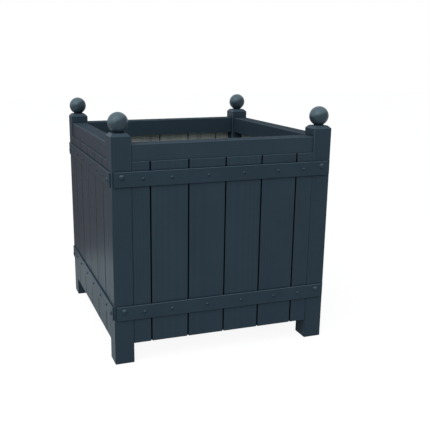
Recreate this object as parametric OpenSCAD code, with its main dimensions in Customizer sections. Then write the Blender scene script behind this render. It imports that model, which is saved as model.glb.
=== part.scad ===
// Square box planter on four posts: boarded sides in a morticed frame, flat-bar straps, ball finials.
// Millimetres. The origin is the centre of the footprint on the ground; X runs along the front,
// Y from front to back and Z up. Each side is drawn in its own place: x along the side as seen from
// outside, y inwards from the outer faces of the posts, z up.

/* [Overall] */
// Width over the posts, left to right
planter_w = 800; // [640:1:1000]
// Depth over the posts, front to back
planter_d = 800; // [640:1:1000]
// Height of the posts, without the finials
post_h = 800; // [560:1:1100]
// Height of clear leg under the boards
leg_h = 73; // [40:1:140]

/* [Posts] */
// Side of the square posts
post_size = 68; // [64:1:90]
// Bevel round the top of each post
post_bevel = 10; // [4:0.5:14]
// Bevel under each foot
foot_bevel = 2.5; // [1:0.5:6]
// Rounding of the long edges of the posts
post_round = 2; // [0.5:0.5:4]

/* [Top rails] */
// Height of the top rails
rail_h = 64; // [50:1:90]
// Thickness of the top rails, front to back
rail_t = 58; // [45:1:60]
// Drop from the top of the posts to the top of the rails
rail_drop = 36; // [20:1:60]
// Set-back of the rails from the outer faces of the posts
rail_setback = 4; // [1:0.5:8]
// Rounding of the top edges of the rails
rail_round = 2.5; // [0.5:0.5:5]
// Height of the rebate that takes the tops of the boards
rebate_h = 8; // [4:0.5:16]

/* [Bottom rails] */
// Height of the bottom rails and of the middle bearer
base_rail_h = 60; // [40:1:80]
// Thickness of the bottom rails
base_rail_t = 45; // [30:1:46]
// Rise from the bottom of the boards to the bottom rails
base_rail_rise = 12; // [0:1:30]
// Thickness of the middle bearer
bearer_t = 45; // [30:1:70]
// Depth of the housings for the ends of the middle bearer
housing_depth = 10; // [5:1:20]
// Height of the ledge left under those ends
housing_ledge = 15; // [8:1:25]

/* [Joints] */
// Thickness of the tenons
tenon_t = 20; // [12:1:24]
// Height of the shoulders above and below a tenon
tenon_shoulder = 10; // [5:1:16]
// Play round a tenon in its mortice
tenon_play = 0.2; // [0.1:0.05:0.5]

/* [Boards] */
// Thickness of the side boards
board_t = 22; // [18:1:26]
// Whole boards on each side; a narrower one goes beside each post
whole_boards = 4; // [2:2:4]
// Width of the narrower boards
end_board_w = 64; // [40:1:90]
// Open gap between the faces of two boards
shadow_gap = 5; // [2:0.5:8]
// Gap between the backs of two boards
back_gap = 1.5; // [0.5:0.5:3]
// Gap between an end board and its post
butt_gap = 0.5; // [0.2:0.1:2]
// Thickness of a tongue
tongue_t = 7; // [4:0.5:9]
// Length of tongue that sits inside its groove
tongue_engage = 6; // [4:0.5:8]
// Play on each face of a tongue
tongue_play = 0.4; // [0.2:0.1:0.8]
// Space left past the end of a tongue
tongue_end_play = 1; // [0.5:0.5:2]
// Easing of the front edges of the boards
board_ease = 1; // [0.3:0.1:2]

/* [Straps] */
// Width of the flat bar
strap_w = 50; // [30:1:70]
// Thickness of the flat bar
strap_t = 5; // [3:0.5:8]
// Distance from the end of a strap to the corner of the planter
strap_end = 8; // [3:1:16]
// Rounding of the corners of a strap
strap_corner = 3; // [1:0.5:8]
// Easing of the front edges of a strap
strap_ease = 0.8; // [0.3:0.1:1.5]
// Drop from the top of the boards to the middle of the upper straps
upper_strap_drop = 57; // [45:1:120]
// Rise from the bottom of the boards to the middle of the lower straps
lower_strap_rise = 114; // [105:1:180]
// How much closer together the screws of a strap are than the boards
hole_draw = 4; // [0:1:8]
// Shift of the last screw from the middle of the end board, away from the post
end_hole_shift = 6; // [0:1:8]

/* [Coach bolts] */
// Diameter of the bolts
bolt_d = 8; // [6:1:10]
// Diameter of the domed heads
bolt_head_d = 20; // [16:0.5:24]
// Height of the domed heads
bolt_head_h = 5; // [3.5:0.5:7]
// Length of the square neck under a head
bolt_neck_l = 4; // [2:0.5:6]
// Play round a bolt in its hole
bolt_play = 0.5; // [0.2:0.1:1]
// Height of the front and back bolts above the middle of a strap
front_bolt_rise = 7; // [6:0.5:9]
// Depth of the side bolts below the middle of a strap
side_bolt_drop = 5; // [5:0.5:8]
// Length of bolt that shows past its nut
bolt_over = 4; // [2:0.5:8]
// Width across the flats of a nut
nut_flats = 13; // [10:0.5:16]
// Height of a nut
nut_h = 6.5; // [5:0.5:8]
// Diameter of a washer
washer_d = 16; // [14:0.5:20]
// Thickness of a washer
washer_t = 1.6; // [1:0.1:2.5]
// Play between a bolt and its nut or washer
thread_play = 0.1; // [0.05:0.05:0.4]

/* [Strap screws] */
// Diameter of the strap screws
screw_d = 5.5; // [4:0.5:6]
// Diameter of the round heads
screw_head_d = 11; // [9:0.5:13]
// Height of the round heads
screw_head_h = 3.5; // [2.5:0.5:4.5]
// Depth of a screw in its board
screw_bite = 17; // [10:1:18]
// Length of the point of a screw
screw_point = 5; // [3:0.5:7]
// Width of the tip of a screw
screw_tip = 0.8; // [0.4:0.1:1.5]
// Play round a screw in its pilot hole
pilot_play = 0.05; // [0.02:0.01:0.2]

/* [Floor] */
// Number of floor slats
slat_count = 5; // [4:1:5]
// Thickness of the slats
slat_t = 20; // [15:1:28]
// Drainage gap between two slats
slat_gap = 10; // [5:1:20]
// Space between the floor and the boards
floor_play = 2; // [1:0.5:5]
// Space between the floor and the posts
post_play = 3; // [1:0.5:6]
// Easing of the top edges of a slat
slat_ease = 1.5; // [0.5:0.5:3]
// Diameter of the floor screws
floor_screw_d = 5; // [4:0.5:6]
// Diameter of the countersunk heads
floor_head_d = 10; // [8:0.5:12]
// Length of the floor screws
floor_screw_l = 50; // [40:1:60]
// Distance from a floor screw to the edge of its slat
floor_screw_edge = 20; // [12:1:30]

/* [Finials] */
// Diameter of the balls
ball_d = 68; // [50:1:90]
// Length of neck that shows under a ball
neck_h = 3; // [1:0.5:10]
// Diameter of the neck
neck_d = 33; // [24:1:40]
// Rounding where the neck meets the ball
neck_cove = 1.5; // [0.5:0.5:3]
// Diameter of the double-ended screw inside
dowel_d = 10; // [8:1:12]
// Depth of that screw in the ball
dowel_in_ball = 30; // [20:1:36]
// Wood left between that screw and the rail tenons
dowel_web = 6; // [4:1:12]

/* [Hidden] */
$fn = 64;
fine_fn = 128; // for the balls and domes
paint = "#2c3841";
iron = "#2f3b44";
bare_wood = "#8a8b76";
zinc = "#a7abad";
over = 1; // how far a cutter runs past the face it cuts

SIDES = ["front", "right", "back", "left"];
CORNERS = ["front_left", "front_right", "back_right", "back_left"];
LEVELS = ["upper", "lower"];

// Lengths of the sides and the heights of what stands on the legs
function side_w(k) = k % 2 == 0 ? planter_w : planter_d;
function side_off(k) = (k % 2 == 0 ? planter_d : planter_w) / 2;
function clear_w(k) = side_w(k) - 2 * post_size;
rail_top = post_h - rail_drop;
rail_bottom = rail_top - rail_h;
board_top = rail_bottom + rebate_h;
base_rail_z = leg_h + base_rail_rise;
floor_z = base_rail_z + base_rail_h;
ledge_z = base_rail_z + housing_ledge;
floor_top = floor_z + slat_t;
post_mid = post_size / 2;
rail_mid = rail_setback + rail_t / 2;
base_rail_mid = board_t + base_rail_t / 2;

// Boards: the whole ones share what the two narrow end boards leave of a side
board_count = whole_boards + 2;
function board_pitch(k) = (clear_w(k) - 2 * end_board_w) / whole_boards;
function board_x0(k, i) = i == 1 ? -clear_w(k) / 2 : (i - 1 - board_count / 2) * board_pitch(k);
function board_x1(k, i) = i == board_count ? clear_w(k) / 2 : (i - board_count / 2) * board_pitch(k);
tongue_y0 = (board_t - tongue_t) / 2;
tongue_y1 = tongue_y0 + tongue_t;
tongue_reach = shadow_gap / 2 + tongue_engage;
post_groove_d = tongue_engage + tongue_end_play;

// Straps: heights, and where their screws and bolts are along the side
strap_z = [board_top - upper_strap_drop, leg_h + lower_strap_rise];
function bolt_x(k) = side_w(k) / 2 - post_mid;
function bolt_z(k, level) = strap_z[level] + (k % 2 == 0 ? front_bolt_rise : -side_bolt_drop);
function end_hole_x(k) = (board_x1(k, board_count) + board_x0(k, board_count)) / 2 - end_hole_shift;
function hole_x(k, i) =
    i == 1 ? -end_hole_x(k) :
    i == board_count ? end_hole_x(k) :
    (i - (board_count + 1) / 2) * (board_pitch(k) - hole_draw);
screw_hole_r = screw_d / 2 + pilot_play;
bolt_hole_r = bolt_d / 2 + bolt_play;

// Floor: slats run from front to back and share the width between the side boards
floor_w = planter_w - 2 * (board_t + floor_play);
floor_d = planter_d - 2 * (board_t + floor_play);
slat_w = (floor_w - (slat_count - 1) * slat_gap) / slat_count;
function slat_x0(i) = -floor_w / 2 + (i - 1) * (slat_w + slat_gap);
post_free_x = planter_w / 2 - post_size - post_play;
post_free_y = planter_d / 2 - post_size - post_play;
floor_screw_y = [-(planter_d / 2 - base_rail_mid), 0, planter_d / 2 - base_rail_mid];
floor_screw_x = [
    for (i = [1:slat_count], end = [0, 1])
        let (x = slat_x0(i) + (end == 0 ? floor_screw_edge : slat_w - floor_screw_edge),
             limit = post_free_x - floor_screw_edge)
        max(-limit, min(limit, x))
];
floor_head_h = (floor_head_d - floor_screw_d) / 2;

// Finials
ball_r = ball_d / 2;
neck_r = neck_d / 2;
ball_mid = neck_h + sqrt(ball_r * ball_r - neck_r * neck_r);
dowel_in_post = rail_drop + tenon_shoulder - dowel_web;

// ---- placing ----

// The place of side k: 0 front, 1 right, 2 back, 3 left
module on_side(k) {
    rotate([0, 0, 90 * k])
        translate([0, -side_off(k), 0])
            children();
}

// The corner at the left end of side k, with x and y measured inwards from the outer faces
module at_corner(k) {
    on_side(k)
        translate([-side_w(k) / 2, 0, 0])
            children();
}

// The children, and the same again for the side that meets this one at the corner
module both_ways() {
    children();
    mirror([1, -1, 0])
        children();
}

// The children at both ends of a side
module both_ends() {
    children();
    mirror([1, 0, 0])
        children();
}

// Runs a profile, drawn as (depth, height), along the side
module along_side(length) {
    translate([-length / 2, 0, 0])
        rotate([90, 0, 90])
            linear_extrude(length)
                children();
}

// ---- shared shapes ----

// A rectangle with round corners, its lower left corner at the origin
module round_rect(size, r) {
    translate([r, 0])
        square([size[0] - 2 * r, size[1]]);
    translate([0, r])
        square([size[0], size[1] - 2 * r]);
    for (x = [r, size[0] - r], y = [r, size[1] - r])
        translate([x, y])
            circle(r);
}

// The plan of a tenon whose end is mitred on the diagonal of the post, grown by play on every face
module mitred_plan(mid, length_past, play, end_gap) {
    y0 = mid - tenon_t / 2 - play;
    y1 = mid + tenon_t / 2 + play;
    polygon([
        [y0 + end_gap, y0],
        [post_size + length_past, y0],
        [post_size + length_past, y1],
        [y1 + end_gap, y1]
    ]);
}

// The pair of tenons at the ends of a rail on side k
module rail_tenons(k, mid, z, h) {
    both_ends()
        translate([-side_w(k) / 2, 0, z + tenon_shoulder])
            linear_extrude(h - 2 * tenon_shoulder)
                mitred_plan(mid, over, 0, 2 * tenon_play);
}

// The L-shaped mortice for two rails that meet in a post
module mortice(mid, z, h) {
    both_ways()
        translate([0, 0, z + tenon_shoulder - tenon_play])
            linear_extrude(h - 2 * tenon_shoulder + 2 * tenon_play)
                mitred_plan(mid, over, tenon_play, 0);
}

// A wood screw that points along -z, with the underside of its head at the origin
module screw_shank(d, length, point) {
    translate([0, 0, -length])
        cylinder(h = point, d1 = screw_tip, d2 = d);
    translate([0, 0, point - length])
        cylinder(h = length - point, d = d);
}

// A low dome on its flat side
module dome(d, h) {
    r = (d * d / 4 + h * h) / (2 * h);
    rotate_extrude()
        intersection() {
            translate([0, h - r])
                circle(r, $fn = fine_fn);
            square([d, h]);
        }
}

// Turns a fastener drawn along -z so that it goes in through the face of a side
module into_side() {
    rotate([90, 0, 0])
        children();
}

// ---- posts and finials ----

// The outline of a post from the side, with its bevelled top and foot
module post_outline() {
    polygon([
        [0, foot_bevel],
        [foot_bevel, 0],
        [post_size - foot_bevel, 0],
        [post_size, foot_bevel],
        [post_size, post_h - post_bevel],
        [post_size - post_bevel, post_h],
        [post_bevel, post_h],
        [0, post_h - post_bevel]
    ]);
}

module post_blank() {
    intersection() {
        linear_extrude(post_h)
            round_rect([post_size, post_size], post_round);
        rotate([90, 0, 90])
            linear_extrude(post_size)
                post_outline();
        translate([0, post_size, 0])
            rotate([90, 0, 0])
                linear_extrude(post_size)
                    post_outline();
    }
}

// The grooves that take the tongues of the two end boards
module post_grooves() {
    both_ways()
        translate([post_size - post_groove_d, tongue_y0 - tongue_play, leg_h])
            cube([post_groove_d + over, tongue_t + 2 * tongue_play, board_top - leg_h]);
}

// The hole of a coach bolt that runs inwards from the face y = 0
module post_bolt_hole(z) {
    translate([post_mid, post_size + over, z])
        rotate([90, 0, 0])
            cylinder(h = post_size + 2 * over, r = bolt_hole_r);
}

module post(k) {
    next = (k + 3) % 4;
    color(paint)
        at_corner(k)
            difference() {
                post_blank();
                post_grooves();
                mortice(rail_mid, rail_bottom, rail_h);
                mortice(base_rail_mid, base_rail_z, base_rail_h);
                for (level = [0, 1]) {
                    post_bolt_hole(bolt_z(k, level));
                    mirror([1, -1, 0])
                        post_bolt_hole(bolt_z(next, level));
                }
                translate([post_mid, post_mid, post_h - dowel_in_post])
                    cylinder(h = dowel_in_post + over, r = dowel_d / 2 + pilot_play);
            }
}

// Half the outline of a finial: a ball that runs down a small cove into its neck
module finial_outline() {
    cove_x = neck_r + neck_cove;
    cove_y = ball_mid - sqrt(pow(ball_r + neck_cove, 2) - cove_x * cove_x);
    intersection() {
        square([ball_r, ball_mid + ball_r]);
        union() {
            translate([0, ball_mid])
                circle(ball_r, $fn = fine_fn);
            square([neck_r, ball_mid]);
            difference() {
                square([cove_x, cove_y + neck_cove / 2]);
                translate([cove_x, cove_y])
                    circle(neck_cove);
                translate([neck_r, -over])
                    square([neck_cove + over, cove_y + over]);
            }
        }
    }
}

module finial(k) {
    color(paint)
        at_corner(k)
            translate([post_mid, post_mid, post_h])
                difference() {
                    rotate_extrude($fn = fine_fn)
                        finial_outline();
                    translate([0, 0, -over])
                        cylinder(h = dowel_in_ball + 2 * over, r = dowel_d / 2 + pilot_play);
                }
}

module finial_screws() {
    color(zinc)
        for (k = [0:3])
            at_corner(k)
                translate([post_mid, post_mid, post_h - dowel_in_post])
                    cylinder(h = dowel_in_post + dowel_in_ball, d = dowel_d);
}

// ---- rails and bearer ----

// Section of a top rail: round top edges, and a rebate under its outer edge for the boards
module top_rail_section() {
    difference() {
        union() {
            translate([rail_setback, rail_bottom])
                square([rail_t, rail_h - rail_round]);
            translate([rail_setback, rail_bottom])
                round_rect([rail_t, rail_h], rail_round);
        }
        translate([rail_setback - over, rail_bottom - over])
            square([board_t - rail_setback + over, rebate_h + over]);
    }
}

module top_rail(k) {
    color(paint)
        on_side(k) {
            along_side(clear_w(k))
                top_rail_section();
            rail_tenons(k, rail_mid, rail_bottom, rail_h);
        }
}

module bottom_rail(k) {
    across = k % 2 == 0;
    color(bare_wood)
        on_side(k)
            difference() {
                union() {
                    along_side(clear_w(k))
                        translate([board_t, base_rail_z])
                            square([base_rail_t, base_rail_h]);
                    rail_tenons(k, base_rail_mid, base_rail_z, base_rail_h);
                }
                if (across)
                    for (x = floor_screw_x)
                        translate([x, base_rail_mid, 0])
                            floor_pilot_hole();
                else
                    bearer_housing();
            }
}

// The blind housing for one end of the middle bearer
module bearer_housing() {
    y = board_t + base_rail_t - housing_depth - tenon_play;
    translate([-bearer_t / 2 - tenon_play, y, ledge_z])
        cube([bearer_t + 2 * tenon_play, housing_depth + tenon_play + over, base_rail_h]);
}

// The bearer that carries the slats half way, with its ends let into the side rails on a ledge
module middle_bearer() {
    clear = planter_w - 2 * (board_t + base_rail_t);
    length = clear + 2 * housing_depth;
    color(bare_wood)
        difference() {
            union() {
                translate([-clear / 2, -bearer_t / 2, base_rail_z])
                    cube([clear, bearer_t, base_rail_h]);
                translate([-length / 2, -bearer_t / 2, ledge_z])
                    cube([length, bearer_t, base_rail_h - housing_ledge]);
            }
            for (x = floor_screw_x)
                translate([x, 0, 0])
                    floor_pilot_hole();
        }
}

// ---- side boards ----

// Right-hand edge of a board, from its face to its back: next to a board, or next to a post
function tongue_edge(x, gap_face, gap_back, reach) = [
    [x - gap_face - board_ease, 0],
    [x - gap_face, board_ease],
    [x - gap_face, tongue_y0],
    [x + reach, tongue_y0],
    [x + reach, tongue_y1],
    [x - gap_back, tongue_y1],
    [x - gap_back, board_t]
];

// Left-hand edge of a board beside another board, from its back to its face
function groove_edge(x) = [
    [x + back_gap / 2, board_t],
    [x + back_gap / 2, tongue_y1 + tongue_play],
    [x + tongue_reach + tongue_end_play, tongue_y1 + tongue_play],
    [x + tongue_reach + tongue_end_play, tongue_y0 - tongue_play],
    [x + shadow_gap / 2, tongue_y0 - tongue_play],
    [x + shadow_gap / 2, board_ease],
    [x + shadow_gap / 2 + board_ease, 0]
];

// A right-hand edge turned over to be the left-hand one
function turned(edge) = [for (i = [len(edge) - 1:-1:0]) [-edge[i][0], edge[i][1]]];

// Plan of board i of side k, tongued to the post or to its neighbours
module board_plan(k, i) {
    x0 = board_x0(k, i);
    x1 = board_x1(k, i);
    right = i == board_count
        ? tongue_edge(x1, butt_gap, butt_gap, tongue_engage)
        : tongue_edge(x1, shadow_gap / 2, back_gap / 2, tongue_reach);
    left = i == 1 ? turned(tongue_edge(-x0, butt_gap, butt_gap, tongue_engage)) : groove_edge(x0);
    polygon(concat(right, left));
}

module board(k, i) {
    color(paint)
        on_side(k)
            difference() {
                translate([0, 0, leg_h])
                    linear_extrude(board_top - leg_h)
                        board_plan(k, i);
                for (z = strap_z)
                    translate([hole_x(k, i), screw_bite + pilot_play, z])
                        into_side()
                            cylinder(h = screw_bite + pilot_play + over, r = screw_hole_r);
            }
}

// ---- straps ----

// Flat bar with round corners and eased front edges, its back on the plane y = 0
module strap_blank(length) {
    intersection() {
        translate([-length / 2, 0, -strap_w / 2])
            rotate([90, 0, 0])
                linear_extrude(strap_t)
                    round_rect([length, strap_w], strap_corner);
        along_side(length)
            eased_half(strap_w);
        translate([0, 0, -strap_w / 2])
            linear_extrude(strap_w)
                rotate([0, 0, -90])
                    mirror([1, 0])
                        mirror([0, 1])
                            eased_half(length);
    }
}

// Section of a flat bar that is eased along its two front edges
module eased_half(width) {
    polygon([
        [0, -width / 2],
        [0, width / 2],
        [strap_ease - strap_t, width / 2],
        [-strap_t, width / 2 - strap_ease],
        [-strap_t, strap_ease - width / 2],
        [strap_ease - strap_t, -width / 2]
    ]);
}

module strap(k, level) {
    neck_hole = bolt_d + 2 * bolt_play;
    color(iron)
        on_side(k)
            difference() {
                translate([0, 0, strap_z[level]])
                    strap_blank(side_w(k) - 2 * strap_end);
                for (i = [1:board_count])
                    translate([hole_x(k, i), over, strap_z[level]])
                        into_side()
                            cylinder(h = strap_t + 2 * over, r = screw_hole_r);
                for (x = [-bolt_x(k), bolt_x(k)])
                    translate([x - neck_hole / 2, -strap_t - over, bolt_z(k, level) - neck_hole / 2])
                        cube([neck_hole, strap_t + 2 * over, neck_hole]);
            }
}

// ---- fasteners ----

// A coach bolt along -z: domed head, square neck, plain shank
module coach_bolt() {
    length = strap_t + post_size + washer_t + nut_h + bolt_over;
    dome(bolt_head_d, bolt_head_h);
    translate([-bolt_d / 2, -bolt_d / 2, -bolt_neck_l])
        cube([bolt_d, bolt_d, bolt_neck_l]);
    translate([0, 0, -length])
        cylinder(h = length, d = bolt_d);
}

// The children at every coach bolt, drawn along -z from the outer face of the strap
module at_bolts() {
    for (k = [0:3], level = [0, 1], x = [-1, 1])
        on_side(k)
            translate([x * bolt_x(k), -strap_t, bolt_z(k, level)])
                into_side()
                    children();
}

module coach_bolts() {
    color(iron)
        at_bolts()
            coach_bolt();
}

module bolt_washers() {
    color(zinc)
        at_bolts()
            translate([0, 0, -strap_t - post_size - washer_t])
                difference() {
                    cylinder(h = washer_t, d = washer_d);
                    translate([0, 0, -over])
                        cylinder(h = washer_t + 2 * over, r = bolt_d / 2 + thread_play);
                }
}

// A hexagon nut whose corners are turned off at both ends, standing on z = 0
module nut() {
    corner_d = nut_flats / cos(30);
    difference() {
        intersection() {
            cylinder(h = nut_h, d = corner_d, $fn = 6);
            cylinder(h = nut_h, d1 = nut_flats, d2 = nut_flats + 2 * nut_h / tan(30));
            cylinder(h = nut_h, d1 = nut_flats + 2 * nut_h / tan(30), d2 = nut_flats);
        }
        translate([0, 0, -over])
            cylinder(h = nut_h + 2 * over, r = bolt_d / 2 + thread_play);
    }
}

module bolt_nuts() {
    color(zinc)
        at_bolts()
            translate([0, 0, -strap_t - post_size - washer_t - nut_h])
                nut();
}

module strap_screws() {
    color(iron)
        for (k = [0:3], z = strap_z, i = [1:board_count])
            on_side(k)
                translate([hole_x(k, i), -strap_t, z])
                    into_side() {
                        dome(screw_head_d, screw_head_h);
                        screw_shank(screw_d, strap_t + screw_bite, screw_point);
                    }
}

// ---- floor ----

module floor_pilot_hole() {
    translate([0, 0, floor_top - floor_screw_l - pilot_play])
        cylinder(h = floor_screw_l, r = floor_screw_d / 2 + pilot_play);
}

// Section of a slat: eased top edges
module slat_section() {
    polygon([
        [0, 0],
        [slat_w, 0],
        [slat_w, slat_t - slat_ease],
        [slat_w - slat_ease, slat_t],
        [slat_ease, slat_t],
        [0, slat_t - slat_ease]
    ]);
}

// A countersunk head, its flat top at the origin
module countersunk_head() {
    translate([0, 0, -floor_head_h])
        cylinder(h = floor_head_h, d1 = floor_screw_d, d2 = floor_head_d);
}

// The room that the posts take from the floor
module post_corners() {
    for (sx = [0, 1], sy = [0, 1])
        mirror([sx, 0, 0])
            mirror([0, sy, 0])
                translate([post_free_x, post_free_y, floor_z - over])
                    cube([post_size + post_play, post_size + post_play, slat_t + 2 * over]);
}

module floor_slat(i) {
    color(bare_wood)
        difference() {
            translate([slat_x0(i), floor_d / 2, floor_z])
                rotate([90, 0, 0])
                    linear_extrude(floor_d)
                        slat_section();
            post_corners();
            for (end = [-2, -1], y = floor_screw_y)
                translate([floor_screw_x[2 * i + end], y, floor_top]) {
                    countersunk_head();
                    translate([0, 0, -slat_t - over])
                        cylinder(h = slat_t + over, r = floor_screw_d / 2 + pilot_play);
                }
        }
}

module floor_screws() {
    color(zinc)
        for (x = floor_screw_x, y = floor_screw_y)
            translate([x, y, floor_top]) {
                countersunk_head();
                screw_shank(floor_screw_d, floor_screw_l, screw_point);
            }
}

// ---- the nodes ----

for (k = [0:3]) {
    post(k);
    finial(k);
    top_rail(k);
    bottom_rail(k);
    for (i = [1:board_count])
        board(k, i);
    for (level = [0, 1])
        strap(k, level);
}
for (i = [1:slat_count])
    floor_slat(i);
middle_bearer();
coach_bolts();
bolt_washers();
bolt_nuts();
strap_screws();
floor_screws();
finial_screws();
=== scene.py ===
"""Looks of the square box planter: finished meshes, materials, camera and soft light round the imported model.

Lengths in the classes are millimetres, as on a joiner's drawing; Blender gets metres. The front faces -Y.
"""
import logging
import math
import random
from abc import ABC, abstractmethod
from collections.abc import Callable
from dataclasses import dataclass, field, fields
from enum import Enum
from functools import partial
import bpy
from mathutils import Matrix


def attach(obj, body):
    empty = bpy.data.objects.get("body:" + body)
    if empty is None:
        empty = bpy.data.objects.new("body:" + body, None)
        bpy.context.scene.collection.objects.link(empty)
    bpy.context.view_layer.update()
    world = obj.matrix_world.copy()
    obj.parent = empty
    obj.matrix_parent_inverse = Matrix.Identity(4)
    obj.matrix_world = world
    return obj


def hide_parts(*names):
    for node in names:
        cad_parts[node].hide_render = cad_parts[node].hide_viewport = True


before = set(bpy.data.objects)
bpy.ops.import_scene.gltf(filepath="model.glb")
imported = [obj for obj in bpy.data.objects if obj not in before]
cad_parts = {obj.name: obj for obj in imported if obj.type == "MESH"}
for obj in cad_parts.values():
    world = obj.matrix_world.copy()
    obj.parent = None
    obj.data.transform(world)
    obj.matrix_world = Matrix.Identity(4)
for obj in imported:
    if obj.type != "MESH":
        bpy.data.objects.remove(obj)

from types import SimpleNamespace
from typing import ClassVar

import bmesh
import bpy
import numpy as np
from bpy.types import Material, Mesh, Node, NodeSocket, NodeTree, Object, World
from mathutils import Euler, Matrix, Vector

MM = 0.001
BODY = "root"
SMOOTH_ANGLE = math.radians(32)
WELD = 0.001 * MM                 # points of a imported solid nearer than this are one
FLAT_ANGLE = math.radians(0.4)    # its triangles that meet flatter than this are one face
LOG_LOW = (0.02, 0.03, 0.0)       # a plank lies at least this far in its log, in metres, the last along it
LOG_HIGH = (0.09, 0.12, 20.0)     # and at most this far
WAVE = 0.314                      # the wave texture's scale times its ring spacing, 2 pi / 20
FACE_WEIGHT = 100                 # flat faces shade flat: they outweigh the rounded edges beside them
LOG = logging.getLogger("planter")
Adder = Callable[..., Node]       # add_node, bound to a tree
Spots = list[tuple[Vector, Euler]]
Inputs = SimpleNamespace          # a tree's inputs by name


class Side(Enum):
    """A side of the planter, by the quarter turns that bring the front to it."""

    FRONT = 0
    RIGHT = 1
    BACK = 2
    LEFT = 3

    @property
    def label(self) -> str:
        """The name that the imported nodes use."""
        return self.name.lower()

    @property
    def turn(self) -> float:
        """The turn about the upright axis, in radians."""
        return self.value * math.pi / 2

    @property
    def inward(self) -> Vector:
        """The direction from this side to the middle of the planter."""
        return Matrix.Rotation(self.turn, 3, "Z") @ Vector((0, 1, 0))

    @property
    def outwards(self) -> Euler:
        """The turn that lays an upright fastener down with its head outwards."""
        return Euler((math.pi / 2, 0, self.turn), "XYZ")

    def place(self, along: float, inwards: float, up: float) -> Vector:
        """Turns a point of this side, in millimetres, into a place in metres.

        Args:
            along: Distance to the right of the middle of the side, seen from outside.
            inwards: Distance inwards from the outer faces of the posts.
            up: Height above the ground.

        Returns:
            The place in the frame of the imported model.
        """
        return Matrix.Rotation(self.turn, 3, "Z") @ Vector((along, inwards - Timber.half, up)) * MM


class Level(Enum):
    """Which of the two straps of a side, by the height of its middle."""

    UPPER = 651.0
    LOWER = 187.0


class Along(Enum):
    """The way the grain of a piece runs, by the order of axes that puts it last."""

    X = (1, 2, 0)
    Y = (0, 2, 1)
    Z = (0, 1, 2)


class Timber:
    """Sizes that several pieces share, in millimetres."""

    half = 400.0
    post_axis = 366.0
    post_top = 800.0
    board_bottom = 73.0
    board_top = 708.0
    board = 22.0
    strap = 5.0
    floor_bottom = 145.0
    floor_top = 165.0


# ---- nodes and meshes ----


def linear(colour: str) -> tuple[float, float, float, float]:
    """Turns an sRGB hex colour into the linear one that the shaders use.

    Args:
        colour: Six hex digits after a hash.

    Returns:
        Red, green, blue and an alpha of 1.
    """
    parts = [int(colour[i:i + 2], 16) / 255 for i in (1, 3, 5)]    # next, the curve of the sRGB standard
    return (*(c / 12.92 if c <= 0.04045 else ((c + 0.055) / 1.055) ** 2.4 for c in parts), 1.0)


def add_node(tree: NodeTree, kind: str, *feeds: object, **named: object) -> Node:
    """Adds one node with its settings, values and links.

    Args:
        tree: The shader or geometry tree.
        kind: The node's type without its family, and its operation after a space, such as Math ADD.
        feeds: What its inputs get, in order. A node or a socket makes a link, a list makes several, and
            anything else is a value.
        named: Its settings by name, and inputs by name with _ for a space.

    Returns:
        The new node.
    """
    kind, *operation = kind.split()
    families = ("ShaderNode", "GeometryNode", "FunctionNode", "Node")
    node = tree.nodes.new(next(family + kind for family in families if hasattr(bpy.types, family + kind)))
    for name in operation:
        node.operation = name
    for name in [name for name in named if name in node.bl_rna.properties]:
        setattr(node, name, named.pop(name))
    shown = [socket for socket in node.inputs if socket.enabled]
    titles = [socket.name.replace(" ", "_") for socket in shown]
    pairs = [*zip(shown, feeds), *((shown[titles.index(name)], value) for name, value in named.items())]
    for socket, value in pairs:
        for item in value if isinstance(value, list) else [value]:
            if isinstance(item, Node):
                item = next(s for s in item.outputs if s.enabled)
            if isinstance(item, NodeSocket):
                tree.links.new(item, socket)
            else:
                socket.default_value = item
    return node


def clear_nodes(data: Material | World) -> Adder:
    """Empties a material's or the world's tree.

    Args:
        data: The material or the world.

    Returns:
        The function that adds nodes to it.
    """
    data.use_nodes = True
    data.node_tree.nodes.clear()
    return partial(add_node, data.node_tree)


def put(name: str, data: object) -> Object:
    """Puts a new object in the scene, at the origin.

    Args:
        name: Its name.
        data: Its mesh, camera or lamp.

    Returns:
        The object.
    """
    item = bpy.data.objects.new(name, data)
    bpy.context.scene.collection.objects.link(item)
    return item


def freeze(holder: Object) -> Mesh:
    """Turns what an object's modifiers give into a plain mesh, and removes the object.

    Args:
        holder: The object.

    Returns:
        The mesh.
    """
    depsgraph = bpy.context.evaluated_depsgraph_get()
    mesh = bpy.data.meshes.new_from_object(holder.evaluated_get(depsgraph), preserve_all_data_layers=True,
                                           depsgraph=depsgraph)
    bpy.data.objects.remove(holder)
    return mesh


def show(piece: Object, slot: str, *nodes: str) -> None:
    """Hands a finished piece to the frame in place of its nodes.

    Args:
        piece: The finished object.
        slot: The record's material slot; not used.
        nodes: The nodes that it stands for.
    """
    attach(piece, BODY)
    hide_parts(*nodes)
    LOG.info("%s: %d faces, for %s", piece.name, len(piece.data.polygons), ", ".join(nodes))


def crisp(name: str, mesh: Mesh) -> Object:
    """Makes an object whose round faces are smooth and whose flat ones stay flat up to their edges.

    Args:
        name: The piece's name.
        mesh: Its mesh, in place.

    Returns:
        The object, with nothing left on its modifier stack.
    """
    mesh.shade_smooth()
    mesh.set_sharp_from_angle(angle=SMOOTH_ANGLE)
    rough = put(name + "_rough", mesh)
    weighted = rough.modifiers.new("flat faces", "WEIGHTED_NORMAL")
    weighted.keep_sharp = True
    weighted.weight = FACE_WEIGHT
    done = freeze(rough)
    done.name = name
    return put(name, done)


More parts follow.
